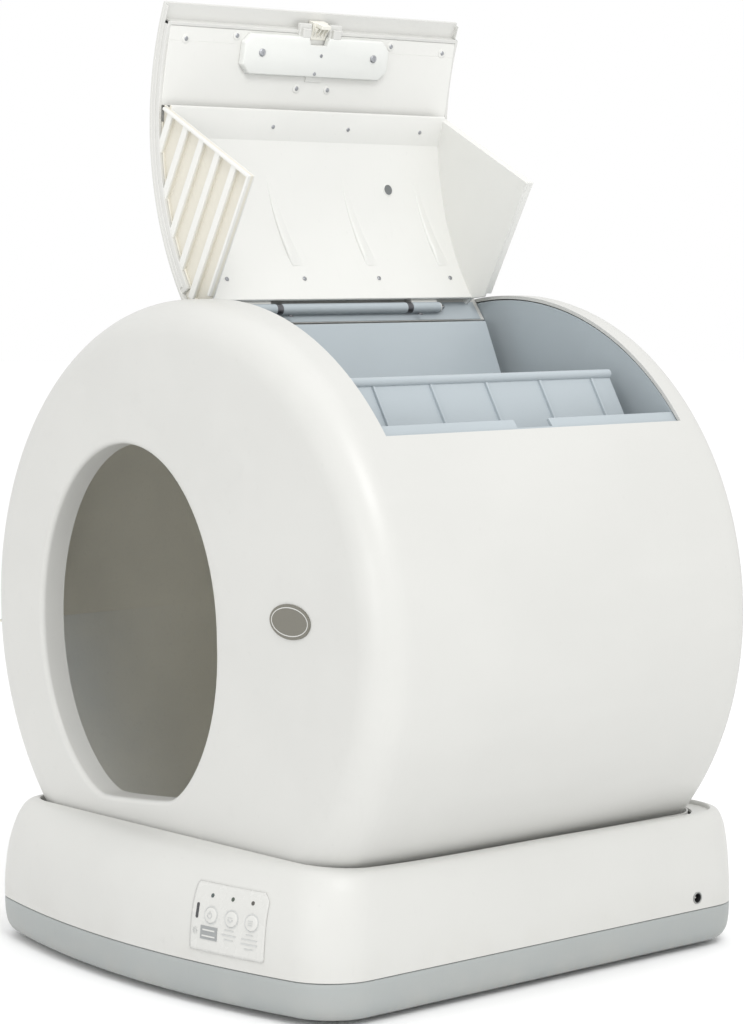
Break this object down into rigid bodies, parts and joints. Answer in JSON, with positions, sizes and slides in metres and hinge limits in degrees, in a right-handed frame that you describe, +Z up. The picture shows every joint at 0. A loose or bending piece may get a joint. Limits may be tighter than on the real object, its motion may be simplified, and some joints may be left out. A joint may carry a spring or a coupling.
{
  "type": "automatic litter box",
  "caption": "Self-cleaning litter box: a rolling drum with an oval entrance, a hinged top lid carrying a scoop, and a lift-out waste bin, on a powered base with push buttons.",
  "frame": {"origin": "centre of the overall box on the floor, under the feet", "axes": "+Z up, -Y the side with the entrance and the buttons, +X the side the lid opens away from, with the power inlet"},
  "size_m": [0.516, 0.487, 0.7795],
  "materials": {
    "base_white": "satin moulded plastic",
    "pan_grey": "satin moulded plastic",
    "well_white": "plain moulded plastic",
    "foot_rubber": "matt rubber",
    "roller_rubber": "matt rubber",
    "bracket_nylon": "plain nylon",
    "drive_tyre": "matt rubber",
    "gearbox_black": "plain moulded plastic",
    "motor_steel": "plated steel can",
    "overlay_film": "smooth film",
    "button_white": "smooth moulded plastic",
    "light_lens": "dark lens",
    "sensor_black": "dark polished window",
    "board_green": "circuit board",
    "jack_black": "plain moulded plastic",
    "jack_pin": "plated pin",
    "drum_white": "satin moulded plastic",
    "bowl_grey": "satin moulded plastic",
    "canopy_grey": "satin moulded plastic",
    "sieve_grey": "satin moulded plastic",
    "compartment_blue_grey": "satin moulded plastic",
    "bin_blue_grey": "satin moulded plastic",
    "badge_taupe": "printed oval",
    "pin_steel": "plated steel",
    "bracket_steel": "dark plated steel",
    "lid_white": "satin moulded plastic",
    "scoop_white": "satin moulded plastic",
    "latch_plate_white": "satin moulded plastic",
    "latch_ivory": "plain moulded plastic"
  },
  "bodies": {
    "base": {"base_cover": "base_white", "base_pan": "pan_grey", "well_liner": "well_white", "foot_1": "foot_rubber", "foot_2": "foot_rubber", "foot_3": "foot_rubber", "foot_4": "foot_rubber", "roller_bracket_1": "bracket_nylon", "roller_bracket_2": "bracket_nylon", "roller_bracket_3": "bracket_nylon", "roller_bracket_4": "bracket_nylon", "gearbox": "gearbox_black", "drive_motor": "motor_steel", "control_panel": "overlay_film", "indicator_1": "light_lens", "indicator_2": "light_lens", "indicator_3": "light_lens", "sensor_window": "sensor_black", "control_board": "board_green", "dc_jack": "jack_black", "dc_pin": "jack_pin"},
    "roller_1": {"roller_1": "roller_rubber"},
    "roller_2": {"roller_2": "roller_rubber"},
    "roller_3": {"roller_3": "roller_rubber"},
    "roller_4": {"roller_4": "roller_rubber"},
    "drive": {"drive_wheel": "drive_tyre"},
    "button_1": {"button_1": "button_white"},
    "button_2": {"button_2": "button_white"},
    "button_3": {"button_3": "button_white"},
    "drum": {"drum_shell": "drum_white", "drum_back": "drum_white", "entrance_ring": "drum_white", "litter_bowl": "bowl_grey", "canopy_liner": "canopy_grey", "sieve": "sieve_grey", "bin_housing": "compartment_blue_grey", "front_badge": "badge_taupe", "hinge_pin": "pin_steel", "hinge_bracket_1": "bracket_steel", "hinge_bracket_2": "bracket_steel"},
    "bin": {"waste_bin": "bin_blue_grey"},
    "lid": {"lid_shell": "lid_white", "lid_panel": "lid_white", "lid_scoop": "scoop_white", "latch_cover": "latch_plate_white", "latch_screw_1": "pin_steel", "latch_screw_2": "pin_steel", "hinge_lug_1": "lid_white", "hinge_lug_2": "lid_white"},
    "latch": {"latch_hook": "latch_ivory"}
  },
  "joints": [
    {"name": "drum_spin", "type": "hinge", "parent": "base", "child": "drum", "pos_m": [0, 0.0181, 0.282], "axis": [0, 1, 0], "range_deg": [-100, 100]},
    {"name": "lid_hinge", "type": "hinge", "parent": "drum", "child": "lid", "pos_m": [-0.0324, 0.0181, 0.53009], "axis": [0, 1, 0], "range_deg": [0, 119]},
    {"name": "bin_lift", "type": "slide", "parent": "drum", "child": "bin", "axis": [0, 0, -1], "range_m": [-0.16, 0]},
    {"name": "latch_slide", "type": "slide", "parent": "lid", "child": "latch", "axis": [-0.3665, 0, -0.9304], "range_m": [0, 0.0035], "stiffness_N_per_m": 300, "springref_m": -0.003},
    {"name": "button_1_press", "type": "slide", "parent": "base", "child": "button_1", "axis": [-0.128, 0.9842, -0.1221], "range_m": [0, 0.0012], "stiffness_N_per_m": 800, "springref_m": -0.0005},
    {"name": "button_2_press", "type": "slide", "parent": "base", "child": "button_2", "axis": [-0.1528, 0.981, -0.1193], "range_m": [0, 0.0012], "stiffness_N_per_m": 800, "springref_m": -0.0005},
    {"name": "button_3_press", "type": "slide", "parent": "base", "child": "button_3", "axis": [-0.1762, 0.9775, -0.116], "range_m": [0, 0.0012], "stiffness_N_per_m": 800, "springref_m": -0.0005},
    {"name": "roller_1_spin", "type": "hinge", "parent": "base", "child": "roller_1", "pos_m": [0.16641, -0.14, 0.069], "axis": [0, 1, 0], "continuous": true},
    {"name": "roller_2_spin", "type": "hinge", "parent": "base", "child": "roller_2", "pos_m": [-0.16641, -0.14, 0.069], "axis": [0, 1, 0], "continuous": true},
    {"name": "roller_3_spin", "type": "hinge", "parent": "base", "child": "roller_3", "pos_m": [0.16641, 0.1505, 0.069], "axis": [0, 1, 0], "continuous": true},
    {"name": "roller_4_spin", "type": "hinge", "parent": "base", "child": "roller_4", "pos_m": [-0.16641, 0.1505, 0.069], "axis": [0, 1, 0], "continuous": true},
    {"name": "drive_spin", "type": "hinge", "parent": "base", "child": "drive", "pos_m": [-0.16764, 0.02, 0.06742], "axis": [0, 1, 0], "continuous": true}
  ],
  "couplings": [
    {"joint": "roller_1_spin", "follows": "drum_spin", "ratio": -21.5},
    {"joint": "roller_2_spin", "follows": "drum_spin", "ratio": -21.5},
    {"joint": "roller_3_spin", "follows": "drum_spin", "ratio": -21.5},
    {"joint": "roller_4_spin", "follows": "drum_spin", "ratio": -21.5},
    {"joint": "drive_spin", "follows": "drum_spin", "ratio": -18.429}
  ]
}
